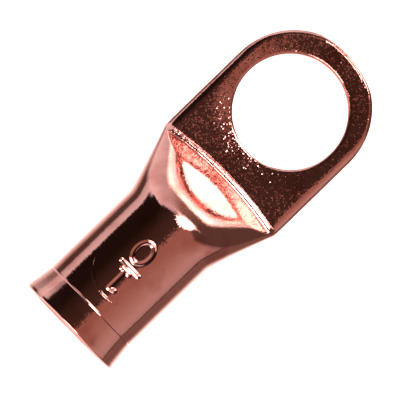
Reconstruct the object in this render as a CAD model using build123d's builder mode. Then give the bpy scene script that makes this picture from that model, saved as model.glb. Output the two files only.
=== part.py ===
from build123d import *
from math import hypot, radians, sqrt, tan
import os

# A cable lug: a length of round copper tube whose mouth is flared, and whose other end is
# pressed flat into a palm and punched for a stud. The origin is the middle of the stud
# hole, on the palm's underside. The barrel runs along X with its mouth at the -X end, and
# Z is up. All sizes are millimetres.

# The tube
barrel_diameter = 12.4
wall = 1.2
barrel_length = 15.5

# The flared mouth
flare_length = 3.5
flare_rise = 0.5
flare_bow = 0.08
rim_round = 0.3

# The stud hole
stud_hole_diameter = 13.2
hole_edge_round = 0.4

# The palm: how much metal is left beside the hole, towards the tip and towards the barrel
side_margin = 2.3
tip_margin = 2.65
shoulder_margin = 3.15
end_arc_offset = 0.65
trim_radius = 11.8
fold_flat = 0.1

# The pressed ramp, and the shoulder where it steps down to the palm
press_length = 8.6
corner_setback = 1.45
ramp_angle = 60.0
ramp_foot_radius = 1.0
shoulder_step = 0.5
shoulder_lean = 0.35
shoulder_land = 0.15
shoulder_round = 0.15
shoulder_arc_radius = 46.0
crown_spare = 0.7
press_line = 0.05

# How the round tube passes into the flat palm
widening_start = 0.12
crown_start = 0.82
pressed_fullness = 0.85
station_count = 6
closing_gap = 0.4

# Sizes that follow from those above
barrel_radius = barrel_diameter / 2
mouth_radius = barrel_radius + flare_rise
bore_radius = barrel_radius - wall
axis_height = mouth_radius
hole_radius = stud_hole_diameter / 2
palm_width = stud_hole_diameter + 2 * side_margin
palm_thickness = 2 * wall
fold_radius = wall - fold_flat / 2
pressed_half_width = palm_width / 2 - press_line
lip_height = palm_thickness + shoulder_step
round_fullness = 4 / 3 * (sqrt(2) - 1)

# Places along X
tip_x = hole_radius + tip_margin
shoulder_x = -hole_radius - shoulder_margin
press_end_x = shoulder_x - corner_setback
palm_start_x = press_end_x + 4 * press_line
press_start_x = press_end_x - press_length
mouth_x = press_start_x - barrel_length
flare_end_x = mouth_x + flare_length


def widening(u):
    """Share of the widening at u from 0 to 1: a curved start, then nearly straight."""
    return u * u * (1 + widening_start) / (u + widening_start)


def crown_fall(u):
    """Share of the crown's fall at u from 0 to 1: a rounded start that steepens to the ramp."""
    return u**3 * (1 + crown_start) / (u * u + crown_start)


def crown_height(u):
    """Height of the tube's top at u, before the ramp is pressed."""
    top = axis_height + barrel_radius
    return top - (top - lip_height - crown_spare) * crown_fall(u)


def upright_wall(u):
    """Thickness of the top wall at u, measured upright through its slope."""
    step = 0.01
    slope = (crown_height(u + step) - crown_height(u - step)) / (2 * step * press_length)
    return wall * hypot(1, slope)


def tube_section(u, inner):
    """Half width, top, widest height, bottom and fullness of the tube at u, or of its bore."""
    side, top, floor = (wall, upright_wall(u), wall) if inner else (0, 0, 0)
    half_width = barrel_radius + (pressed_half_width - barrel_radius) * widening(u) - side
    high = crown_height(u) - top
    barrel_bottom = axis_height - barrel_radius
    low = barrel_bottom + (press_line - barrel_bottom) * widening(u) + floor
    middle = low + (high - low) * (0.5 - 0.15 * crown_fall(u))
    fullness = round_fullness + (pressed_fullness - round_fullness) * crown_fall(u) ** 2
    return half_width, high, middle, low, fullness


def section_quarters(u, inner):
    """Control points of the four quarters round a section, starting at its +Y side, upwards."""
    half_width, high, middle, low, fullness = tube_section(u, inner)
    quarters = []
    for side, end in ((half_width, high), (-half_width, low)):
        rise = middle + fullness * (end - middle)
        reach = fullness * side
        quarters.append([(side, middle), (side, rise), (reach, end), (0, end)])
        quarters.append([(0, end), (-reach, end), (-side, rise), (-side, middle)])
    return quarters


def closing_share():
    """Where the pressed walls meet inside the tube, found by halving the stretch."""
    open_at, shut_at = 0.0, 1.0
    for _ in range(40):
        share = (open_at + shut_at) / 2
        high, low = tube_section(share, True)[1], tube_section(share, True)[3]
        if high - low > closing_gap:
            open_at = share
        else:
            shut_at = share
    return open_at


def flare_points(end_radius, radius):
    """Start, bowed middle and end of the flare, for the outer or the inner radius of the tube."""
    start = (mouth_x + rim_round, axis_height + end_radius)
    end = (flare_end_x, axis_height + radius)
    bowed = ((start[0] + end[0]) / 2, (start[1] + end[1]) / 2 - flare_bow)
    return start, bowed, end


def rim_corner(end_radius, outwards):
    """Points of the rim's rounding, drawn as two narrow flats from the flare to the mouth's face."""
    near = (mouth_x + rim_round, axis_height + end_radius)
    far = (mouth_x, axis_height + end_radius - outwards * rim_round)
    drop = rim_round * (1 - sqrt(0.5))
    middle = (mouth_x + drop, axis_height + end_radius - outwards * drop)
    return near, middle, far


barrel_axis = Axis((0, 0, axis_height), (1, 0, 0))

# The press tool: it leaves the sloping ramp, the curved shoulder and the palm's flat top. Its
# profile is turned about an upright line behind the shoulder and starts on the far side.
with BuildPart() as press_tool:
    clear_height = axis_height + 2 * barrel_radius
    shoulder_top = shoulder_arc_radius - shoulder_lean
    ramp_foot = shoulder_top - shoulder_round - shoulder_land
    ramp_foot -= ramp_foot_radius * tan(radians(ramp_angle / 2))
    ramp_top = ramp_foot - (clear_height - lip_height) / tan(radians(ramp_angle))
    tool_reach = shoulder_arc_radius + palm_width
    tool_floor = palm_thickness - press_line
    tool_centre = (shoulder_x - shoulder_arc_radius, 0, 0)
    with BuildSketch(Plane(tool_centre, x_dir=(-1, 0, 0), z_dir=(0, 1, 0))):
        with BuildLine():
            FilletPolyline(
                (ramp_top, clear_height),
                (ramp_foot, lip_height),
                (shoulder_top, lip_height),
                (shoulder_arc_radius, tool_floor),
                radius=(ramp_foot_radius, shoulder_round),
            )
            Polyline(
                (shoulder_arc_radius, tool_floor),
                (tool_reach, tool_floor),
                (tool_reach, clear_height),
                (ramp_top, clear_height),
            )
        make_face()
    revolve(axis=Axis(tool_centre, (0, 0, 1)))

# The hollow: the flared mouth, the round bore, and the pressed end that closes under the ramp
with BuildPart() as hollow:
    with BuildSketch(Plane.XZ):
        with BuildLine():
            start, bowed, end = flare_points(mouth_radius - wall, bore_radius)
            near, middle, far = rim_corner(mouth_radius - wall, -1)
            ThreePointArc(start, bowed, end)
            Polyline(near, middle, far)
            Polyline(
                end,
                (press_start_x, end[1]),
                (press_start_x, axis_height),
                (mouth_x - wall, axis_height),
                (mouth_x - wall, far[1]),
                far,
            )
        make_face()
    revolve(axis=barrel_axis)
    closing = closing_share()
    with BuildSketch(Plane.YZ.offset(press_start_x)):
        with BuildLine():
            for quarter in range(4):
                CenterArc((0, axis_height), bore_radius, 90 * quarter, 90)
        make_face()
    for station in range(1, station_count):
        share = closing * station / (station_count - 1)
        with BuildSketch(Plane.YZ.offset(press_start_x + press_length * share)):
            with BuildLine():
                for controls in section_quarters(share, True):
                    Bezier(*controls)
            make_face()
    loft()

# The tube: the pressed stretch with its ramp, then the straight barrel with its flared mouth
with BuildPart() as tube_form:
    with BuildSketch(Plane.YZ.offset(press_start_x)):
        with BuildLine():
            for quarter in range(4):
                CenterArc((0, axis_height), barrel_radius, 90 * quarter, 90)
        make_face()
    for station in range(1, station_count):
        share = station / (station_count - 1)
        with BuildSketch(Plane.YZ.offset(press_start_x + press_length * share)):
            with BuildLine():
                for controls in section_quarters(share, False):
                    Bezier(*controls)
            make_face()
    loft()
    extrude(tube_form.faces().sort_by(Axis.X)[-1], amount=corner_setback + shoulder_round)
    add(press_tool.part, mode=Mode.SUBTRACT)
    with BuildSketch(Plane.XZ):
        with BuildLine():
            start, bowed, end = flare_points(mouth_radius, barrel_radius)
            near, middle, far = rim_corner(mouth_radius, 1)
            ThreePointArc(start, bowed, end)
            Polyline(near, middle, far)
            Polyline(
                end,
                (press_start_x, end[1]),
                (press_start_x, axis_height),
                (mouth_x, axis_height),
                far,
            )
        make_face()
    revolve(axis=barrel_axis)
    add(hollow.part, mode=Mode.SUBTRACT)

# The palm: two walls folded flat, with round folded sides, a round end trimmed at its tip, and
# the stud hole, punched from above, so its top edge is rolled over and its bottom edge is not
with BuildPart() as palm_form:
    with BuildSketch():
        with BuildLine():
            half = palm_width / 2
            Line((end_arc_offset, -half), (palm_start_x, -half))
            Line((palm_start_x, -half), (palm_start_x, half))
            Line((palm_start_x, half), (end_arc_offset, half))
            ThreePointArc((end_arc_offset, half), (end_arc_offset + half, 0), (end_arc_offset, -half))
        make_face()
    extrude(amount=palm_thickness)
    folded_edges = palm_form.edges().filter_by(Axis.X) + palm_form.edges().filter_by(GeomType.CIRCLE)
    fillet(folded_edges, fold_radius)
    with BuildSketch():
        with Locations((tip_x, 0)):
            Rectangle(palm_width, 2 * palm_width)
        with Locations((tip_x - trim_radius, 0)):
            Circle(trim_radius, mode=Mode.SUBTRACT)
    extrude(amount=palm_thickness, mode=Mode.SUBTRACT)
    with BuildSketch():
        Circle(hole_radius)
    extrude(amount=palm_thickness, mode=Mode.SUBTRACT)
    circles = palm_form.edges(Select.LAST).filter_by(GeomType.CIRCLE)
    fillet(circles.sort_by(Axis.Z)[-1:], hole_edge_round)

with BuildPart() as cable_lug:
    add(tube_form.part)
    add(palm_form.part)

cable_lug.part.label = "cable_lug"
os.makedirs("parts", exist_ok=True)
export_step(cable_lug.part, "parts/cable_lug.step")
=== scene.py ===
from math import cos, pi, radians, sin, tan

import bmesh
import bpy
import numpy as np
from mathutils import Matrix, Vector


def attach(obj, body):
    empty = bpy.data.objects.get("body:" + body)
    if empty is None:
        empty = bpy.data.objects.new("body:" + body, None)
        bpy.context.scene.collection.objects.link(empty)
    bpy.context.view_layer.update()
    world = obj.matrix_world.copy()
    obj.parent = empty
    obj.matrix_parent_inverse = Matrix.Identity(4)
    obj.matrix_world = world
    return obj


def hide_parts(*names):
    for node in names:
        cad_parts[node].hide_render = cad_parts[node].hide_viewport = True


bl_info = {
    "name": "Copper Cable Lug",
    "version": (1, 0, 0),
    "blender": (4, 5, 0),
    "location": "View3D > Sidebar > Cable Lug",
    "description": "Dresses the packed cable lug as pressed bare copper tube and sets its studio",
    "category": "Object",
}

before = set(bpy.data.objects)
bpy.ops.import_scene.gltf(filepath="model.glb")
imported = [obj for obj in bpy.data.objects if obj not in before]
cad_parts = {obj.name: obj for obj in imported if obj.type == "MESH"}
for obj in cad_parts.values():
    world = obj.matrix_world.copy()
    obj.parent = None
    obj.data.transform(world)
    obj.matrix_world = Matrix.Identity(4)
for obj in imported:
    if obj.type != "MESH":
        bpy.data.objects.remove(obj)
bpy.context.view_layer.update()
MM = 0.001

# how many columns cross the top of a section, stand on each side, and lie between hole and edge
TOP_COLUMNS = 121
SIDE_COLUMNS = 11
PALM_ROWS = 12
# how far the top columns reach down each side of the round tube, as an angle from the crown
TOP_REACH = radians(65)

# how the round tube passes into the palm: small values start the widening and the crown's fall
# early, the widest height is halfway up and falls by a share of the height, and the fullness is
# how far a quarter's curve fills its corner, round and pressed
WIDENING_START = 0.12
CROWN_START = 0.4
WIDEST_FALL = 0.15
ROUND_FULLNESS = 0.5523
PRESSED_FULLNESS = 0.85
# behind the shoulder: where rows start and end bending to its arc, where the tube's section starts
# and ends turning into the palm's, and where the ridges start and end being softened
BENDING = (9.05 * MM, 3.55 * MM)
FLATTENING = (0.65 * MM, -0.75 * MM)
SOFTENING = (0.65 * MM, 1.65 * MM)
# where the bore's walls have closed to this gap, it ends
CLOSING_GAP = 0.4 * MM
# the slanted land's last rounding, and the crease where the flare starts: half of its width, and
# how far from it the close rows start and end
LAND_END = 0.1 * MM
CREASE_HALF = 0.13 * MM
CREASE_ROWS = (0.2 * MM, -0.2 * MM)
# points closer than this are one, and this keeps a division off nought
MERGE_DISTANCE = 1e-4 * MM
TINY = 1e-9

# the trimmed tip leans to the -Y side and stays this much inside the plain solid's, and where it
# cuts in, the edges are sharper
TIP_LEAN = radians(-6.5)
TIP_INSIDE = 0.02 * MM
TRIM_SHARPENS = (-0.5 * MM, 0.12 * MM)
ROUND_END_SHARPENS = 0.8
# the punch drew the hole's edge down unevenly, by this share more on the side of this bearing
DRAW_UNEVEN = 0.6
DRAW_BEARING = radians(150)
DRAW_POWER = 1.25

# the stamped mark: its place on the barrel, its straight strokes and its oval (middle and half
# sizes), in millimetres along the barrel from that place and round it, and its close rows
MARK_X = -26.4 * MM
MARK_STROKES = (
    ((-2.6, 0.05), (-0.1, 0.05)),
    ((-2.6, -0.1), (-2.45, -0.6)),
    ((0.0, -0.45), (0.0, 0.55)),
    ((0.62, -1.3), (0.62, 1.2)),
)
MARK_OVAL = ((2.85, 0.1), 1.4, 0.97)
MARK_ROWS = (5.4 * MM, -3.9 * MM)
# the faint ring round it: middle and width in the same millimetres, depth, and where it fades in
# towards the mouth and out towards the -Y side
RING_MIDDLE = (1.2, -0.15)
RING_WIDTH = 0.16
RING_DEPTH = 0.065 * MM
RING_START = (0.8, 1.8)
RING_END = (2.2, 1.2)

# skin of the copper: how wide the oxide's patches are, the noise at which they start and are
# full, how much they cover then, and how rough the tumbled outside and the bore are
OXIDE_WIDTH = 4 * MM
OXIDE_NOISE = (0.5, 0.75)
OXIDE_COVER = 0.6
BRIGHT_ROUGHNESS = 0.08
BORE_ROUGHNESS = 0.5
# how much of the facets' lean is left on the tube and on slopes. As start and end: where along X
# the bore's skin turns bright, from the pressed stretch's start, where the facets grow to their
# full lean, from the shoulder, and how upright a face is where it counts as flat
TUBE_FACETS = 0.36
SLOPE_FACETS = 0.3
BORE_ENDS = (1.8 * MM, 2.8 * MM)
FACETS_GROW = (-2.05 * MM, 0.45 * MM)
FLAT_FACES = (0.9, 0.985)

# what the lug mirrors: tints of the paper it lies on, the table round it, a board leaning over the
# -Y side, a wall's foot and the wall, the dark room overhead and the window
PAPER, TABLE, BOARD = "FFF2EC", "FFDDCB", "FFF0EC"
WALL_FOOT, WALL, ROOM, WINDOW = "FFCDB8", "FFD0C0", "FFD8C0", "F4FBFF"
# round the barrel, -Y negative, as (degrees from overhead, strength, tint)
SIDE_STOPS = (
    (-180, 1.5, PAPER),
    (-158, 1.4, PAPER),
    (-137, 0.23, TABLE),
    (-122, 0.19, TABLE),
    (-109, 0.23, TABLE),
    (-106, 0.03, TABLE),
    (-102, 0.44, BOARD),
    (-86, 0.50, BOARD),
    (-50, 0.39, TABLE),
    (-26, 0.32, WALL_FOOT),
    (-15, 0.35, WALL),
    (-9, 0.06, ROOM),
    (18, 0.045, ROOM),
    (45, 0.013, ROOM),
    (85, 0.013, ROOM),
    (88, 0.88, WINDOW),
    (105, 0.66, WINDOW),
    (111, 0.09, TABLE),
    (128, 0.11, TABLE),
    (150, 1.1, PAPER),
    (180, 1.5, PAPER),
)
# low round the horizon, +Y positive, as (degrees from +X, strength, tint, cover)
END_STOPS = (
    (-180, 1.3, PAPER, 1.0),
    (-162, 1.1, PAPER, 1.0),
    (-146, 0.5, TABLE, 0.0),
    (-76, 0.3, TABLE, 0.0),
    (-60, 0.11, TABLE, 1.0),
    (-18, 0.11, TABLE, 1.0),
    (6, 0.3, TABLE, 1.0),
    (18, 0.70, WINDOW, 1.0),
    (72, 1.05, WINDOW, 1.0),
    (84, 0.9, WINDOW, 0.0),
    (126, 0.5, TABLE, 0.0),
    (140, 1.4, PAPER, 1.0),
    (180, 1.3, PAPER, 1.0),
)
# bands of directions as (start, end, softness of the edges) in degrees: how far down from overhead
# the horizon's colours lie, the bearings where they start lower, and by how much
HORIZON = (53, 150, 4)
WINDOW_BEARINGS = (65, 118, 8)
WINDOW_DROP = 24
# the lit paper before the tip: its bearings, then its bands down from overhead, each with its
# cover and its colour, first the paper itself and then a dimmer fold across it
TIP_BEARINGS = (-15, 24, 4)
TIP_PAPER = (
    ((98, 150, 3), 1.0, (3.2, 3.2, 3.0, 1)),
    ((105, 113.5, 2.5), 0.85, (1.3, 1.25, 1.35, 1)),
)
# oval lamps overhead, as (middle and half size towards +X, the same towards +Y, strength), where
# straight up is 0 and the horizon is 1
LAMPS = (
    (0.74, 0.2, -0.15, 0.24, 6.0),
    (-0.7, 0.2, -0.03, 0.28, 4.0),
)
LAMP_EDGE = 0.1
WHITE = (1, 1, 1, 1)

# the studio in metres: middle of the view, half the floor's side, how far it is below the lug and
# its paper, the light's height, side and watts, and the camera's sensor in millimetres and range
VIEW_MIDDLE = (-14.49 * MM, -0.04 * MM, 5 * MM)
FLOOR_HALF = 3.0
FLOOR_DROP = 0.02 * MM
FLOOR_COLOUR = "F6F5F4"
FLOOR_ROUGHNESS = 0.9
LIGHT_HEIGHT = 1.2
LIGHT_SIZE = 1.6
LIGHT_POWER = 60
SENSOR_WIDTH = 36
CAMERA_RANGE = (0.05, 20)


def linear(hex_colour):
    """The linear colour of an sRGB hex value such as B87333."""
    parts = [int(hex_colour[k : k + 2], 16) / 255 for k in (0, 2, 4)]
    return tuple(p / 12.92 if p <= 0.04045 else ((p + 0.055) / 1.055) ** 2.4 for p in parts)


def length_prop(name, description, millimetres):
    """A length that the sidebar shows in the scene's unit."""
    default = millimetres * MM
    return bpy.props.FloatProperty(
        name=name, description=description, default=default, min=0, unit="LENGTH", precision=5
    )


def angle_prop(name, description, degrees):
    """An angle that the sidebar shows in degrees."""
    return bpy.props.FloatProperty(
        name=name, description=description, default=radians(degrees), subtype="ANGLE"
    )


def colour_prop(name, description, hex_colour):
    """A colour, given as its sRGB hex value."""
    default = linear(hex_colour)
    return bpy.props.FloatVectorProperty(
        name=name, description=description, default=default, size=3, subtype="COLOR", min=0, max=1
    )


class LugSizes(bpy.types.PropertyGroup):
    """Sizes of the lug, as in the part's source or fitted a little closer at the shoulder, and of
    the fine detail that only the scene has."""

    barrel_diameter: length_prop("Barrel diameter", "Outside of the straight tube", 12.4)
    wall: length_prop("Wall", "Thickness of the tube's wall", 1.2)
    barrel_length: length_prop("Barrel length", "Round tube from mouth to pressed stretch", 15.5)
    flare_length: length_prop("Flare length", "Length of the opened mouth", 3.5)
    flare_rise: length_prop("Flare rise", "How much the mouth's radius is opened", 0.5)
    rim_round: length_prop("Rim rounding", "Radius on both edges of the rim", 0.3)
    stud_hole_diameter: length_prop("Stud hole", "Diameter of the punched hole", 13.2)
    hole_edge_round: length_prop("Hole edge rounding", "Roll-over at the hole's top edge", 0.4)
    side_margin: length_prop("Side margin", "Metal beside the hole", 2.3)
    tip_margin: length_prop("Tip margin", "Metal between the hole and the tip", 2.65)
    shoulder_margin: length_prop("Shoulder margin", "Flat between the hole and the shoulder", 3.35)
    end_arc_offset: length_prop("End arc offset", "Round end's centre, ahead of the hole's", 0.65)
    trim_radius: length_prop("Trim radius", "Arc that the tip was trimmed to", 11.8)
    fold_radius: length_prop("Fold radius", "Rounding of the folded sides", 1.15)
    trim_round: length_prop("Trim rounding", "Rounding of the trimmed tip's edges", 0.4)
    press_length: length_prop("Press length", "Stretch over which the tube is pressed", 8.6)
    corner_setback: length_prop("Corner setback", "Pressed stretch's end to the shoulder", 1.25)
    ramp_foot_radius: length_prop("Ramp foot radius", "Hollow rounding below the ramp", 0.5)
    ramp_radius: length_prop("Ramp radius", "Hollow of the ramp itself as it steepens", 30.0)
    shoulder_step: length_prop("Shoulder step", "Drop from the lip to the palm", 0.5)
    shoulder_land: length_prop("Shoulder land", "Slanted strip between the ramp and the step", 0.34)
    step_round: length_prop("Step rounding", "Rounding at the foot and the top of the step", 0.06)
    shoulder_arc_radius: length_prop("Shoulder arc", "Plan radius of the shoulder", 46.0)
    crown_spare: length_prop("Crown spare", "How far the bare crown would clear the lip", 0.7)
    press_line: length_prop("Press line", "Small step left by the press on the underside", 0.05)
    ridge_blend: length_prop("Ridge blend", "Softness of the ramp's ridges", 0.15)
    dish: length_prop("Palm dish", "How much lower the middle is than the sides", 0.12)
    hole_draw: length_prop("Hole draw", "How far the punch drew down the hole's top edge", 0.2)
    hole_draw_reach: length_prop("Hole draw reach", "How far out the top is drawn down", 2.3)
    crease_depth: length_prop("Crease depth", "Fine groove where the flare starts", 0.045)
    stamp_depth: length_prop("Stamp depth", "Depth of the stamped size mark", 0.17)
    stroke: length_prop("Stroke", "Width of the stamped strokes", 0.62)
    ring_radius: length_prop("Ring radius", "Faint ring left round the mark by its holder", 4.8)
    ramp_angle: angle_prop("Ramp angle", "Steepest slope of the pressed ramp", 62)
    ramp_foot_angle: angle_prop("Ramp foot angle", "Slope of the ramp above its foot", 58)
    step_angle: angle_prop("Step angle", "Slope of the step down to the palm", 76)
    land_angle: angle_prop("Land angle", "Slope of the land behind the step", 25)


class LugFinish(bpy.types.PropertyGroup):
    """Colours and grain of the bare copper."""

    copper: colour_prop("Copper", "Clean bright copper", "F9ADA2")
    tarnish: colour_prop("Tarnish", "Copper with a thin red oxide", "C4604C")
    facet_width: length_prop("Facet width", "Width of the tumbled skin's tiny facets", 0.11)
    facet_lean: angle_prop("Facet lean", "How far the most tilted facets lean", 12.5)


class StudioSettings(bpy.types.PropertyGroup):
    """The camera's place and the width of its view."""

    distance: length_prop("Camera distance", "From the middle of the view", 900)
    view_width: length_prop("View width", "Width of the view at the lug", 45.3)
    tilt: angle_prop("Tilt", "Lean of the camera towards the mouth", 2.3)
    turn: angle_prop("Turn", "Angle of the lug in the picture", 44.21)


def smooth_share(value, start, end):
    """0 before start, 1 beyond end, and a smooth S curve between. Either may be the larger."""
    share = np.clip((value - start) / (end - start), 0, 1)
    return share * share * (3 - 2 * share)


class TubeForm:
    """Works out the lug's places and sections from its sizes, in metres in the part's frame."""

    def __init__(self, sizes):
        for name in sizes.__annotations__:
            setattr(self, name, getattr(sizes, name))
        self.barrel_radius = self.barrel_diameter / 2
        self.mouth_radius = self.barrel_radius + self.flare_rise
        self.axis_height = self.mouth_radius
        self.hole_radius = self.stud_hole_diameter / 2
        self.half_palm = self.hole_radius + self.side_margin
        self.thickness = 2 * self.wall
        self.lip_height = self.thickness + self.shoulder_step
        self.shoulder_x = -self.hole_radius - self.shoulder_margin
        self.press_end_x = self.shoulder_x - self.corner_setback
        self.press_start_x = self.press_end_x - self.press_length
        self.mouth_x = self.press_start_x - self.barrel_length
        self.flare_end_x = self.mouth_x + self.flare_length
        self.tip_x = self.hole_radius + self.tip_margin
        self.arc_centre_x = self.shoulder_x - self.shoulder_arc_radius
        # where the tube's rows end and the palm's outline starts
        self.cut_x = self.shoulder_x + 0.3 * self.shoulder_margin

    def widening(self, u):
        """Share of the widening: u squared over u plus a little, so it starts curved."""
        return u * u * (1 + WIDENING_START) / (u + WIDENING_START)

    def crown_fall(self, u):
        """Share of the crown's fall: u cubed over u squared plus a constant, so it steepens."""
        return u**3 * (1 + CROWN_START) / (u * u + CROWN_START)

    def crown_height(self, u):
        """Height of the tube's top before the ramp is pressed, by the fall's share of the drop."""
        top = self.axis_height + self.barrel_radius
        return top - (top - self.lip_height - self.crown_spare) * self.crown_fall(u)

    def section(self, u, inner):
        """Half width, top, widest height, bottom and fullness of the pressed tube or its bore at u,
        where the bore's top wall is measured upright through the crown's slope."""
        step = 0.01
        rise = self.crown_height(u + step) - self.crown_height(u - step)
        slope = rise / (2 * step * self.press_length)
        wall = self.wall if inner else 0
        pressed_half = self.half_palm - self.press_line
        half_width = self.barrel_radius + (pressed_half - self.barrel_radius) * self.widening(u)
        high = self.crown_height(u) - wall * np.hypot(1, slope)
        bottom = self.axis_height - self.barrel_radius
        low = bottom + (self.press_line - bottom) * self.widening(u) + wall
        middle = low + (high - low) * (0.5 - WIDEST_FALL * self.crown_fall(u))
        fullness = ROUND_FULLNESS + (PRESSED_FULLNESS - ROUND_FULLNESS) * self.widening(u) ** 3
        return np.stack([half_width - wall, high, middle, low, fullness], axis=-1)

    def round_section(self, radius):
        """The same five values for a round tube of that radius."""
        middle = self.axis_height + 0 * radius
        fullness = ROUND_FULLNESS + 0 * radius
        return np.stack([radius, middle + radius, middle, middle - radius, fullness], axis=-1)


def tube_columns():
    """Where the columns stand round a section: an angle from the crown or the keel for the top and
    bottom ones, set closest at the crown by a cubic, and even steps down the sides between them."""
    spread = np.linspace(-1, 1, TOP_COLUMNS)
    top_angle = TOP_REACH * (0.6 * spread + 0.4 * spread**3)
    side_angle = np.linspace(TOP_REACH, pi - TOP_REACH, SIDE_COLUMNS + 2)[1:-1]
    # from the +Y edge of the top, over the crown, down the -Y side, back under, and up the +Y side
    return np.concatenate([top_angle, side_angle, pi + top_angle, pi + side_angle])


def ring_points(section, angle):
    """Points of closed sections as (rows, columns) of y and z: each quarter is a cubic Bezier
    curve from the widest point to the crown or keel, with handles as long as the fullness says."""
    half_width, high, middle, low, fullness = np.moveaxis(section, -1, 0)
    across, up = -np.sin(angle), np.cos(angle)
    share = 1 - np.abs(np.arcsin(np.clip(np.abs(across), 0, 1))) / (pi / 2)
    width = (1 - share) ** 3 + 3 * (1 - share) ** 2 * share + 3 * (1 - share) * share**2 * fullness
    rise = 3 * (1 - share) ** 2 * share * fullness + 3 * (1 - share) * share**2 + share**3
    end = np.where(up > 0, high, low)
    return np.sign(across) * half_width * width, middle + (end - middle) * rise


def palm_ring(form, y_top):
    """The palm's own section on the same columns: flat top and underside, round folded sides."""
    reach = form.half_palm - form.fold_radius
    flat = y_top / np.abs(y_top).max() * reach
    side_y, side_z = fold_profile(form, form.fold_radius)
    y = np.concatenate([flat, -reach - side_y, flat[::-1], reach + side_y[::-1]])
    z = np.concatenate([0 * flat + form.thickness, side_z, 0 * flat, side_z[::-1]])
    return y, z


def fold_profile(form, corner):
    """Round side of the palm seen end on, from top to underside: how far out, and how high.
    Two quarter circles of the corner's radius with the rest of the thickness between them."""
    turn = np.linspace(0, pi, SIDE_COLUMNS + 2)[1:-1]
    corner = np.asarray(corner)[..., None]
    out = corner * np.sin(turn)
    half = form.thickness / 2
    up = half + np.where(turn < pi / 2, 1, -1) * (half - corner) + corner * np.cos(turn)
    # the outermost point stands halfway up, between the two circles
    up = np.where(np.abs(turn - pi / 2) < 1e-6, half, up)
    return out, up


def stroke_distance(x, v, start, end):
    """Distance from a straight stroke: to the nearest point of the run from start to end."""
    run = np.subtract(end, start)
    share = np.clip(((x - start[0]) * run[0] + (v - start[1]) * run[1]) / (run @ run), 0, 1)
    return np.hypot(x - start[0] - share * run[0], v - start[1] - share * run[1])


def oval_distance(x, v, centre, along, across):
    """Distance from an oval line: its level less one, over the level's steepness."""
    dx, dv = x - centre[0], v - centre[1]
    level = np.hypot(dx / along, dv / across) + TINY
    steepness = np.hypot(dx / along**2, dv / across**2) / level + TINY
    return np.abs(level - 1) / steepness


def mark_depth(form, x, v):
    """Depth of the stamped size mark at a place along and round the barrel: a plain one over
    nought, each stroke a groove whose depth falls with the square of the distance, and the ring."""
    along, around = (x - MARK_X) / MM, v / MM
    strokes = [stroke_distance(along, around, start, end) for start, end in MARK_STROKES]
    nearest = np.minimum.reduce([*strokes, oval_distance(along, around, *MARK_OVAL)]) * MM
    groove = np.clip(1 - (nearest / (form.stroke / 2)) ** 2, 0, 1) ** 1.5
    from_middle = np.hypot(along - RING_MIDDLE[0], around - RING_MIDDLE[1])
    scratch = np.clip(1 - ((from_middle - form.ring_radius / MM) / RING_WIDTH) ** 2, 0, 1) ** 2
    shown = smooth_share(-along, *RING_START) * smooth_share(-around, *RING_END)
    return form.stamp_depth * groove + RING_DEPTH * scratch * shown


def softly_lower(z, tool, softness):
    """The lower of two heights, with the ridge between them rounded over by the softness."""
    share = np.clip(0.5 + 0.5 * (tool - z) / softness, 0, 1)
    return tool + (z - tool) * share - softness * share * (1 - share)


def slope_chain(start, pieces):
    """Points of a profile that climbs towards -X, as a chain of pieces (first slope, last slope,
    radius or length, points): a round one follows its circle, a straight one has equal slopes."""
    x, z = [np.array([start[0]])], [np.array([start[1]])]
    for first, last, size, count in pieces:
        slope = np.linspace(first, last, count + 1)[1:]
        if first == last:
            share = np.linspace(0, size, count + 1)[1:]
            step_x, step_z = share * cos(first), share * sin(first)
        else:
            turn = size if last > first else -size
            step_x = turn * (np.sin(slope) - sin(first))
            step_z = turn * (cos(first) - np.cos(slope))
        x.append(x[-1][-1] - step_x)
        z.append(z[-1][-1] + step_z)
    return np.concatenate(x), np.concatenate(z)


def outer_rows(form):
    """Rows from the palm back to the barrel, as centre-line x, height left by the press, and how
    much the palm's dish counts. The profile is a chain: the step, the slanted land behind it, the
    ramp's hollow foot, and the ramp, whose last slope goes on up to the barrel."""
    step, land, low, steep = form.step_angle, form.land_angle, form.ramp_foot_angle, form.ramp_angle
    round_r = form.step_round
    rounded = 2 * round_r * (1 - cos(step)) - (round_r - LAND_END) * (1 - cos(land))
    face = (form.shoulder_step - rounded - form.shoulder_land * sin(land)) / sin(step)
    pieces = [
        (0, step, round_r, 6),
        (step, step, face, 3),
        (step, land, round_r, 6),
        (land, land, form.shoulder_land, 4),
        (land, 0, LAND_END, 4),
        (0, low, form.ramp_foot_radius, 9),
        (low, steep, form.ramp_radius, 21),
    ]
    x, z = slope_chain((form.shoulder_x, form.thickness), pieces)
    palm = np.linspace(form.cut_x, form.shoulder_x, 11)[:-1]
    above = np.linspace(x[-1], form.press_start_x, 58)[1:-1]
    z = np.concatenate([0 * palm + form.thickness, z, z[-1] + (x[-1] - above) * tan(steep)])
    x = np.concatenate([palm, x, above])
    return x, z, smooth_share(z, form.lip_height, form.thickness)


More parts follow.
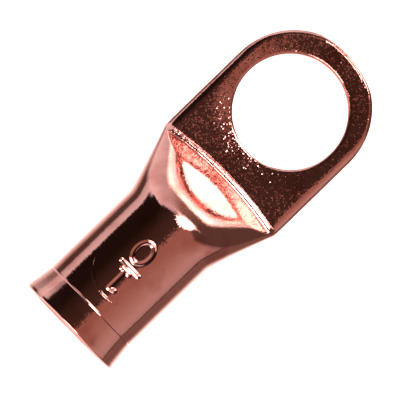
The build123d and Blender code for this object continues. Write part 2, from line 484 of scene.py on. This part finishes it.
def pressed_rows(form, angle):
    """The pressed stretch from the palm to where the round barrel starts. Rows follow the curved
    shoulder; each point's section is the one at its own x, found by repeating four times."""
    row_x, tool_z, dish = (values[:, None] for values in outer_rows(form))
    behind = form.shoulder_x - row_x
    rho = row_x - form.arc_centre_x
    bend = smooth_share(behind, *BENDING) * smooth_share(row_x, form.cut_x, form.shoulder_x)
    x = row_x + 0 * angle
    for _ in range(4):
        u = np.clip((x - form.press_start_x) / form.press_length, 0, 1)
        y, z = ring_points(form.section(u, False), angle)
        x = row_x - bend * (rho - np.sqrt(rho**2 - y**2))
    end_y, _ = ring_points(form.section(np.ones((1, 1)), False), angle)
    palm_y, palm_z = palm_ring(form, end_y[0, :TOP_COLUMNS])
    flattened = smooth_share(behind, *FLATTENING)
    y = y + (palm_y - y) * flattened
    z = z + (palm_z - z) * flattened
    # the tool's height at each point's own distance from the arc's centre
    actual = np.hypot(x - form.arc_centre_x, y)
    tool = tool_z + (rho - actual) * np.gradient(tool_z[:, 0], -row_x[:, 0])[:, None]
    tool = tool - dish * dish_depth(form, y)
    softness = form.ridge_blend * smooth_share(behind, *SOFTENING) + TINY
    return x, y, softly_lower(z, tool, softness)


def dish_depth(form, y):
    """How far the palm's top is below its full thickness: most in the middle, by a parabola."""
    reach = form.half_palm - form.fold_radius
    return form.dish * np.clip(1 - (y / reach) ** 2, 0, 1)


def flare_radius(form, x):
    """Outside radius of the barrel: straight, then a crease, and an opening that steepens."""
    share = np.clip((form.flare_end_x - x) / form.flare_length, 0, 1)
    crease = np.clip(1 - ((x - form.flare_end_x) / CREASE_HALF) ** 2, 0, 1) ** 2
    opening = form.flare_rise * (0.85 * share + 0.15 * share**3)
    return form.barrel_radius + opening - form.crease_depth * crease


def barrel_rows(form):
    """x and radius of the round rows, and how many are outside: the barrel, with its rows closest
    at the mark and the crease, the flare, the rounded rim and the flare's inside."""
    close_start, close_end = MARK_X + MARK_ROWS[0], MARK_X + MARK_ROWS[1]
    crease_start, crease_end = form.flare_end_x + CREASE_ROWS[0], form.flare_end_x + CREASE_ROWS[1]
    rim = form.rim_round
    stretches = (
        (form.press_start_x, close_start, 6),
        (close_start, close_end, 104),
        (close_end, crease_start, 6),
        (crease_start, crease_end, 13),
        (crease_end, form.mouth_x + rim, 16),
    )
    outside = np.concatenate([np.linspace(*stretch)[:-1] for stretch in stretches])
    quarter = np.linspace(0, pi / 2, 7)
    outer = flare_radius(form, form.mouth_x + rim)
    rim_x = form.mouth_x + rim - rim * np.concatenate([np.sin(quarter), np.cos(quarter)])
    rim_radius = np.concatenate(
        [outer - rim + rim * np.cos(quarter), outer - form.wall + rim - rim * np.sin(quarter)]
    )
    inside = np.linspace(form.mouth_x + rim, form.press_start_x, 15)[1:]
    x = np.concatenate([outside, rim_x, inside])
    radius = np.concatenate(
        [flare_radius(form, outside), rim_radius, flare_radius(form, inside) - form.wall]
    )
    return x, radius, len(outside)


def tube_grid(form):
    """All rows of the tube, from the palm over the barrel and the rim into the closed bore."""
    angle = tube_columns()
    pressed = pressed_rows(form, angle)
    row_x, radius, outside = barrel_rows(form)
    y, z = ring_points(form.round_section(radius)[:, None], angle)
    x = row_x[:, None] + 0 * y
    stamped = (np.arange(len(row_x)) < outside)[:, None] * (np.cos(angle) > 0)
    around = -np.where(angle > pi, angle - 2 * pi, angle) * form.barrel_radius
    shrink = 1 - mark_depth(form, x, around) * stamped / radius[:, None]
    y, z = y * shrink, form.axis_height + (z - form.axis_height) * shrink
    # the bore ends where its walls have closed, read off 400 sections
    u = np.linspace(0, 1, 400)
    bore = form.section(u, True)
    closing = np.interp(-CLOSING_GAP, -(bore[:, 1] - bore[:, 3]), u)
    share = np.linspace(0, closing, 16)[1:, None]
    inner_y, inner_z = ring_points(form.section(share, True), angle)
    inner_x = form.press_start_x + share * form.press_length + 0 * inner_y
    return (
        np.concatenate([pressed[0], x, inner_x]),
        np.concatenate([pressed[1], y, inner_y]),
        np.concatenate([pressed[2], z, inner_z]),
    )


def palm_outline(form):
    """Outline of the palm round the hole from its +Y corner, over the tip, to its -Y corner:
    points, outward directions and corner rounding. Straight sides, a round end, and a tip trimmed
    to a flatter arc about a point behind the tip."""
    sides = np.linspace(form.cut_x, form.end_arc_offset, 26)
    turn = np.linspace(pi / 2, -pi / 2, 150)[1:-1]
    arc_x = form.end_arc_offset + form.half_palm * np.cos(turn)
    arc_y = form.half_palm * np.sin(turn)
    bearing = np.arctan2(arc_y, arc_x)
    back = form.tip_x - form.trim_radius
    off = bearing - TIP_LEAN
    trimmed = back * np.cos(off) + np.sqrt(form.trim_radius**2 - (back * np.sin(off)) ** 2)
    whole = np.hypot(arc_x, arc_y)
    by_trim = smooth_share(whole - trimmed, *TRIM_SHARPENS)
    by_end = ROUND_END_SHARPENS * smooth_share(np.cos(turn), 0, 0.5)
    radius = np.minimum(whole, trimmed - TIP_INSIDE)
    half = form.half_palm
    x = np.concatenate([sides, radius * np.cos(bearing), sides[::-1]])
    y = np.concatenate([0 * sides + half, radius * np.sin(bearing), 0 * sides - half])
    sharper = np.concatenate([0 * sides, np.maximum(by_trim, by_end), 0 * sides])
    corner = form.fold_radius + (form.trim_round - form.fold_radius) * sharper
    direction = np.concatenate([0 * sides + pi / 2, turn, 0 * sides - pi / 2])
    return x, y, np.cos(direction), np.sin(direction), corner


def palm_top(form, x, y):
    """Height of the palm's top: dished, and drawn down round the hole by the punch, nearly as a
    cone, and unevenly by a cosine of the bearing."""
    beyond = np.hypot(x, y) - form.hole_radius
    uneven = 1 + DRAW_UNEVEN * np.cos(np.arctan2(y, x) - DRAW_BEARING)
    reach = np.clip(1 - beyond / form.hole_draw_reach, 0, 1) ** DRAW_POWER
    return form.thickness - dish_depth(form, y) - form.hole_draw * uneven * reach


def inward_rows(form, x, y, upper):
    """Points on straight lines from the hole's edge out to x and y, on the top or the underside."""
    share = np.linspace(0, 1, PALM_ROWS + 2)[1:-1, None]
    bearing = np.arctan2(y, x)
    edge = form.hole_radius + (form.hole_edge_round if upper else 0)
    start_x, start_y = edge * np.cos(bearing), edge * np.sin(bearing)
    row_x, row_y = start_x + (x - start_x) * share, start_y + (y - start_y) * share
    return row_x, row_y, palm_top(form, row_x, row_y) if upper else 0 * row_x


def hole_rows(form, x, y):
    """The hole's wall from the underside up, and its edge rolled over by a quarter circle."""
    bearing = np.arctan2(y, x)[None]
    turn = np.linspace(0, pi / 2, 8)[1:, None]
    edge = form.hole_edge_round
    outer = form.hole_radius + edge
    top = palm_top(form, outer * np.cos(bearing), outer * np.sin(bearing))
    wall_radius = np.full((5, 1), form.hole_radius)
    radius = np.concatenate([wall_radius, form.hole_radius + edge * (1 - np.cos(turn))])
    share = np.linspace(0, 1, 5)[:, None]
    z = np.concatenate([(top - edge) * share, top - edge + edge * np.sin(turn)])
    return radius * np.cos(bearing), radius * np.sin(bearing), z


def palm_grids(form, tube):
    """Two grids round the hole: the strip to the palm's outer edge, and the fan to the tube."""
    x, y, out_x, out_y, corner = palm_outline(form)
    reach_x, reach_y = x - corner * out_x, y - corner * out_y
    out, up = fold_profile(form, corner)
    fold = (reach_x + out_x * out.T, reach_y + out_y * out.T, up.T)
    first, last = TOP_COLUMNS, 2 * TOP_COLUMNS + SIDE_COLUMNS
    ring = [values[0] for values in tube]
    tops = [values[:first] for values in ring]
    keels = [values[first + SIDE_COLUMNS : last][::-1] for values in ring]
    top = (reach_x, reach_y, palm_top(form, reach_x, reach_y))
    keel = (reach_x, reach_y, 0 * reach_x)
    strip = []
    for part in (
        hole_rows(form, reach_x, reach_y),
        inward_rows(form, reach_x, reach_y, True),
        [v[None] for v in top],
        fold,
        [v[None] for v in keel],
        [v[::-1] for v in inward_rows(form, reach_x, reach_y, False)],
    ):
        strip.append(np.stack(part, axis=-1))
    fan = []
    for part in (
        [v[None] for v in keels],
        [v[::-1] for v in inward_rows(form, keels[0], keels[1], False)],
        hole_rows(form, tops[0], tops[1]),
        inward_rows(form, tops[0], tops[1], True),
        [v[None] for v in tops],
    ):
        fan.append(np.stack(part, axis=-1))
    return np.concatenate(strip), np.concatenate(fan)


def grid_faces(rows, columns, base, close_rows, close_columns):
    """Four-sided faces of a grid whose points are numbered row by row, closed where asked."""
    down = np.arange(rows if close_rows else rows - 1)
    along = np.arange(columns if close_columns else columns - 1)
    a, b = np.meshgrid(down, along, indexing="ij")
    a2, b2 = (a + 1) % rows, (b + 1) % columns
    corners = [a * columns + b, a * columns + b2, a2 * columns + b2, a2 * columns + b]
    return base + np.stack(corners, axis=-1).reshape(-1, 4)


def lug_surface(form):
    """Points and faces of the whole lug: the tube's grid, the palm's two grids and the bore's end,
    with points that lie on each other made one."""
    tube = tube_grid(form)
    strip, fan = palm_grids(form, tube)
    body = np.stack(tube, axis=-1)
    end = body[-1].mean(axis=0)
    points = [part.reshape(-1, 3) for part in (body, strip, fan, end)]
    starts = np.cumsum([0] + [len(part) for part in points])
    rows, columns = body.shape[:2]
    around = np.arange(columns)
    last = (rows - 1) * columns
    centre = np.full(columns, starts[3])
    cap = np.stack([last + around, last + (around + 1) % columns, centre], axis=-1)
    faces = [
        grid_faces(rows, columns, 0, False, True),
        grid_faces(*strip.shape[:2], starts[1], True, False),
        grid_faces(*fan.shape[:2], starts[2], False, False),
        cap,
    ]
    points = np.concatenate(points)
    rounded = np.round(points / MERGE_DISTANCE)
    _, kept, merged = np.unique(rounded, axis=0, return_index=True, return_inverse=True)
    merged = merged.ravel()
    return points[kept], [row for group in faces for row in merged[group].tolist()]


def make_mesh(name, points, faces):
    """A mesh object at the origin, with its faces turned outwards and shaded smooth."""
    mesh = bpy.data.meshes.new(name)
    mesh.from_pydata(points, [], faces)
    mesh.validate()
    work = bmesh.new()
    work.from_mesh(mesh)
    bmesh.ops.recalc_face_normals(work, faces=work.faces)
    work.to_mesh(mesh)
    work.free()
    mesh.shade_smooth()
    made = bpy.data.objects.new(name, mesh)
    bpy.context.scene.collection.objects.link(made)
    return made


def add_node(tree, kind, given=None):
    """Adds a node and gives it its settings, values and links: a key is a setting's name, or an
    input's name or place, and another node's output is linked. Returns the node's outputs."""
    node = tree.nodes.new(kind)
    for key, value in (given or {}).items():
        if isinstance(key, str) and hasattr(node, key):
            setattr(node, key, value)
        elif isinstance(value, bpy.types.NodeSocket):
            tree.links.new(value, node.inputs[key])
        else:
            node.inputs[key].default_value = value
    return node.outputs


def bare_copper(finish, form):
    """Bare drawn copper, pressed and tumbled: a mirror-like metal whose skin of tiny facets breaks
    a reflection into sparks, most of all on the pressed palm, with a thin red oxide in patches."""
    material = bpy.data.materials.new("Bare drawn copper")
    material.use_nodes = True
    tree = material.node_tree
    tree.nodes.clear()
    place = add_node(tree, "ShaderNodeTexCoord")["Object"]
    along = add_node(tree, "ShaderNodeSeparateXYZ", {"Vector": place})["X"]
    normal = add_node(tree, "ShaderNodeNewGeometry")["Normal"]
    upright = add_node(tree, "ShaderNodeSeparateXYZ", {"Vector": normal})["Z"]

    # thin red oxide, in soft patches that never quite cover the copper
    patches = add_node(
        tree,
        "ShaderNodeTexNoise",
        {"Vector": place, "Scale": 1 / OXIDE_WIDTH, "Detail": 2.0, "Roughness": 0.5},
    )["Fac"]
    oxide = add_node(
        tree,
        "ShaderNodeMapRange",
        {
            "Value": patches,
            "From Min": OXIDE_NOISE[0],
            "From Max": OXIDE_NOISE[1],
            "To Max": OXIDE_COVER,
        },
    )["Result"]
    tint = add_node(
        tree,
        "ShaderNodeMix",
        {"data_type": "RGBA", "Factor": oxide, "A": (*finish.copper, 1), "B": (*finish.tarnish, 1)},
    )["Result"]

    # the bore was not tumbled and keeps the dull skin of drawn tube: it is what lies nearer to the
    # barrel's axis than the wall's middle, as far as the pressed stretch
    crosswise = add_node(
        tree, "ShaderNodeVectorMath", {"operation": "MULTIPLY", 0: place, 1: (0, 1, 1)}
    )["Vector"]
    from_axis = add_node(
        tree,
        "ShaderNodeVectorMath",
        {"operation": "DISTANCE", 0: crosswise, 1: (0, 0, form.axis_height)},
    )["Value"]
    shares = []
    for value, base, (start, end), least in (
        (from_axis, form.barrel_radius, (-form.wall / 2, -form.wall / 3), 0.0),
        (along, form.press_start_x, BORE_ENDS, 0.0),
        (along, form.shoulder_x, FACETS_GROW, TUBE_FACETS),
        (upright, 0.0, FLAT_FACES, SLOPE_FACETS),
    ):
        share = add_node(
            tree,
            "ShaderNodeMapRange",
            {"Value": value, "From Min": base + start, "From Max": base + end, "To Min": least},
        )
        shares.append(share["Result"])
    outside, ahead, pressed, flat = shares
    bright = add_node(
        tree, "ShaderNodeMath", {"operation": "MAXIMUM", 0: outside, 1: ahead}
    )["Value"]
    roughness = add_node(
        tree,
        "ShaderNodeMapRange",
        {"Value": bright, "To Min": BORE_ROUGHNESS, "To Max": BRIGHT_ROUGHNESS},
    )["Result"]

    # tumbled skin: tiny flat facets, most nearly level and a few leaning far, as each part of the
    # lean is the cube of a chance value between -0.5 and 0.5
    cells = add_node(
        tree, "ShaderNodeTexVoronoi", {"Vector": place, "Scale": 1 / finish.facet_width}
    )["Color"]
    chance = add_node(
        tree, "ShaderNodeVectorMath", {"operation": "SUBTRACT", 0: cells, 1: (0.5, 0.5, 0.5)}
    )["Vector"]
    lean = chance
    for _ in range(2):
        lean = add_node(
            tree, "ShaderNodeVectorMath", {"operation": "MULTIPLY", 0: lean, 1: chance}
        )["Vector"]
    reach = finish.facet_lean / 0.5**3
    for share in (pressed, flat, bright):
        reach = add_node(
            tree, "ShaderNodeMath", {"operation": "MULTIPLY", 0: share, 1: reach}
        )["Value"]
    lean = add_node(
        tree, "ShaderNodeVectorMath", {"operation": "SCALE", 0: lean, "Scale": reach}
    )["Vector"]
    leaning = add_node(
        tree, "ShaderNodeVectorMath", {"operation": "ADD", 0: normal, 1: lean}
    )["Vector"]
    facet = add_node(tree, "ShaderNodeVectorMath", {"operation": "NORMALIZE", 0: leaning})["Vector"]

    metal = add_node(
        tree,
        "ShaderNodeBsdfPrincipled",
        {"Metallic": 1.0, "Base Color": tint, "Roughness": roughness, "Normal": facet},
    )["BSDF"]
    add_node(tree, "ShaderNodeOutputMaterial", {"Surface": metal})
    return material


def colour_ramp(tree, stops, angle):
    """Colours round a circle, from stops of degrees, strength, tint and cover; the angle is radians
    and runs from half a turn back to half a turn on."""
    turn = add_node(
        tree, "ShaderNodeMath", {"operation": "MULTIPLY_ADD", 0: angle, 1: 0.5 / pi, 2: 0.5}
    )["Value"]
    outputs = add_node(tree, "ShaderNodeValToRGB", {"Fac": turn})
    ramp = outputs["Color"].node.color_ramp
    while len(ramp.elements) < len(stops):
        ramp.elements.new(0.5)
    for element, (degrees, strength, tint, *cover) in zip(ramp.elements, stops):
        element.position = degrees / 360 + 0.5
        element.color = (*(strength * part for part in linear(tint)), *(cover or [1]))
    return outputs


def band(tree, value, start, end, edge):
    """1 where a value lies between start and end and 0 outside, with edges of that softness: the
    product of a smooth rise and a smooth fall."""
    shares = []
    for low, high in ((start - edge, start + edge), (end + edge, end - edge)):
        share = add_node(
            tree,
            "ShaderNodeMapRange",
            {"interpolation_type": "SMOOTHSTEP", "Value": value, "From Min": low, "From Max": high},
        )
        shares.append(share["Result"])
    rise, fall = shares
    return add_node(tree, "ShaderNodeMath", {"operation": "MULTIPLY", 0: rise, 1: fall})["Value"]


def oval(tree, offsets):
    """1 inside an oval and 0 outside, from (value, middle, half size) each way: its edge is where
    the squares of the offsets, each over its half size, add up to one."""
    squares = 0.0
    for value, middle, half in offsets:
        off = add_node(
            tree,
            "ShaderNodeMath",
            {"operation": "MULTIPLY_ADD", 0: value, 1: 1 / half, 2: -middle / half},
        )["Value"]
        squares = add_node(
            tree, "ShaderNodeMath", {"operation": "MULTIPLY_ADD", 0: off, 1: off, 2: squares}
        )["Value"]
    return band(tree, squares, -1, 1, LAMP_EDGE)


def studio_surround():
    """What the bright metal mirrors: the colours round the barrel, and laid over them the horizon's
    colours, the lit paper before the tip and two lamps. The camera itself sees plain white."""
    world = bpy.data.worlds.new("Soft studio")
    world.use_nodes = True
    tree = world.node_tree
    tree.nodes.clear()
    direction = add_node(tree, "ShaderNodeTexCoord")["Generated"]
    parts = add_node(tree, "ShaderNodeSeparateXYZ", {"Vector": direction})
    x, y, z = parts["X"], parts["Y"], parts["Z"]
    sideways = add_node(tree, "ShaderNodeMath", {"operation": "ARCTAN2", 0: y, 1: z})["Value"]
    bearing = add_node(tree, "ShaderNodeMath", {"operation": "ARCTAN2", 0: y, 1: x})["Value"]
    down = add_node(tree, "ShaderNodeMath", {"operation": "ARCCOSINE", 0: z})["Value"]
    above = add_node(tree, "ShaderNodeMath", {"operation": "GREATER_THAN", 0: z, 1: 0.0})["Value"]
    seen = add_node(tree, "ShaderNodeLightPath")["Is Camera Ray"]

    # towards the window the horizon's colours start lower
    window = band(tree, bearing, *np.radians(WINDOW_BEARINGS))
    raised = add_node(
        tree,
        "ShaderNodeMath",
        {"operation": "MULTIPLY_ADD", 0: window, 1: -radians(WINDOW_DROP), 2: down},
    )["Value"]
    horizon = colour_ramp(tree, END_STOPS, bearing)
    low = band(tree, raised, *np.radians(HORIZON))
    tip = band(tree, bearing, *np.radians(TIP_BEARINGS))

    # layers from the lowest up, each as the shares whose product is its cover, and its colour
    layers = [((low, horizon["Alpha"]), horizon["Color"])]
    for degrees, cover, shade in TIP_PAPER:
        layers.append(((band(tree, down, *np.radians(degrees)), tip, cover), shade))
    for middle_x, half_x, middle_y, half_y, strength in LAMPS:
        lamp = oval(tree, ((x, middle_x, half_x), (y, middle_y, half_y)))
        layers.append(((lamp, above), (strength, strength, strength, 1)))
    layers.append(((seen,), WHITE))
    lit = colour_ramp(tree, SIDE_STOPS, sideways)["Color"]
    for (cover, *shares), shade in layers:
        for share in shares:
            cover = add_node(
                tree, "ShaderNodeMath", {"operation": "MULTIPLY", 0: cover, 1: share}
            )["Value"]
        lit = add_node(
            tree, "ShaderNodeMix", {"data_type": "RGBA", "Factor": cover, "A": lit, "B": shade}
        )["Result"]
    background = add_node(tree, "ShaderNodeBackground", {"Color": lit})["Background"]
    add_node(tree, "ShaderNodeOutputWorld", {"Surface": background})
    return world


def pale_floor():
    """Matt white paper sweep, which keeps the shadow faint and the edges of the lug bright."""
    material = bpy.data.materials.new("White paper")
    material.use_nodes = True
    shader = material.node_tree.nodes["Principled BSDF"]
    shader.inputs["Base Color"].default_value = (*linear(FLOOR_COLOUR), 1)
    shader.inputs["Roughness"].default_value = FLOOR_ROUGHNESS
    return material


class LUG_OT_cable_lug(bpy.types.Operator):
    """Make the lug's pressed tube and palm as one surface in place of the plain solid"""

    bl_idname = "lug.cable_lug"
    bl_label = "Make Cable Lug"

    def execute(self, context):
        form = TubeForm(context.scene.lug_sizes)
        points, faces = lug_surface(form)
        lug = make_mesh("copper_cable_lug", points, faces)
        lug.data.materials.append(bare_copper(context.scene.lug_finish, form))
        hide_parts("cable_lug")
        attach(lug, "root")
        return {"FINISHED"}


def soft_light(name, height, size, power):
    """A soft square light straight above the origin that faces the lug and isn't mirrored in it."""
    data = bpy.data.lights.new(name, "AREA")
    data.shape, data.size, data.size_y, data.energy = "RECTANGLE", size, size, power
    light = bpy.data.objects.new(name, data)
    light.location = (0, 0, height)
    towards_lug = Vector(VIEW_MIDDLE) - light.location
    light.rotation_euler = towards_lug.to_track_quat("-Z", "Y").to_euler()
    light.visible_glossy = False
    bpy.context.scene.collection.objects.link(light)


def set_camera(studio):
    """A camera that looks down on the lug: its back leans by the tilt towards the mouth, and it is
    turned about its own line of sight."""
    data = bpy.data.cameras.new("camera")
    data.sensor_width = SENSOR_WIDTH
    data.lens = SENSOR_WIDTH * studio.distance / studio.view_width
    data.clip_start, data.clip_end = CAMERA_RANGE
    camera = bpy.data.objects.new("camera", data)
    tilt, turn = studio.tilt, studio.turn
    back = Vector((-sin(tilt), 0, cos(tilt)))
    along = Vector((cos(tilt), 0, sin(tilt)))
    across = Vector((0, 1, 0))
    right = along * cos(turn) - across * sin(turn)
    up = along * sin(turn) + across * cos(turn)
    axes = Matrix((right, up, back)).transposed().to_4x4()
    camera.matrix_world = Matrix.Translation(Vector(VIEW_MIDDLE) + back * studio.distance) @ axes
    bpy.context.scene.collection.objects.link(camera)
    bpy.context.scene.camera = camera


class LUG_OT_studio(bpy.types.Operator):
    """Set the floor, the soft light and the camera above the lug"""

    bl_idname = "lug.studio"
    bl_label = "Set Studio"

    def execute(self, context):
        x, y = np.meshgrid((-FLOOR_HALF, FLOOR_HALF), (-FLOOR_HALF, FLOOR_HALF))
        corners = np.stack([x, y, 0 * x - FLOOR_DROP], axis=-1).reshape(-1, 3)
        floor = make_mesh("paper_floor", corners, [(0, 1, 3, 2)])
        floor.data.materials.append(pale_floor())
        floor.visible_glossy = False
        context.scene.world = studio_surround()
        context.scene.view_settings.view_transform = "Standard"
        soft_light("overhead_fill", LIGHT_HEIGHT, LIGHT_SIZE, LIGHT_POWER)
        set_camera(context.scene.lug_studio)
        return {"FINISHED"}


class LUG_PT_panel(bpy.types.Panel):
    """Sidebar panel that lists the lug's steps and settings"""

    bl_label = "Cable Lug"
    bl_idname = "LUG_PT_panel"
    bl_space_type = "VIEW_3D"
    bl_region_type = "UI"
    bl_category = "Cable Lug"

    def draw(self, context):
        for step in STEPS:
            self.layout.operator(step.bl_idname)
        for group in ("lug_sizes", "lug_finish", "lug_studio"):
            settings = getattr(context.scene, group)
            box = self.layout.box()
            for name in settings.__annotations__:
                box.prop(settings, name)


STEPS = (LUG_OT_cable_lug, LUG_OT_studio)
GROUPS = {"lug_sizes": LugSizes, "lug_finish": LugFinish, "lug_studio": StudioSettings}


def register():
    for group, kind in GROUPS.items():
        bpy.utils.register_class(kind)
        setattr(bpy.types.Scene, group, bpy.props.PointerProperty(type=kind))
    for kind in (*STEPS, LUG_PT_panel):
        bpy.utils.register_class(kind)


def unregister():
    for kind in (*STEPS, LUG_PT_panel):
        bpy.utils.unregister_class(kind)
    for group, kind in GROUPS.items():
        delattr(bpy.types.Scene, group)
        bpy.utils.unregister_class(kind)


def main():
    register()
    bpy.ops.lug.cable_lug()
    bpy.ops.lug.studio()


if __name__ == "__main__":
    main()
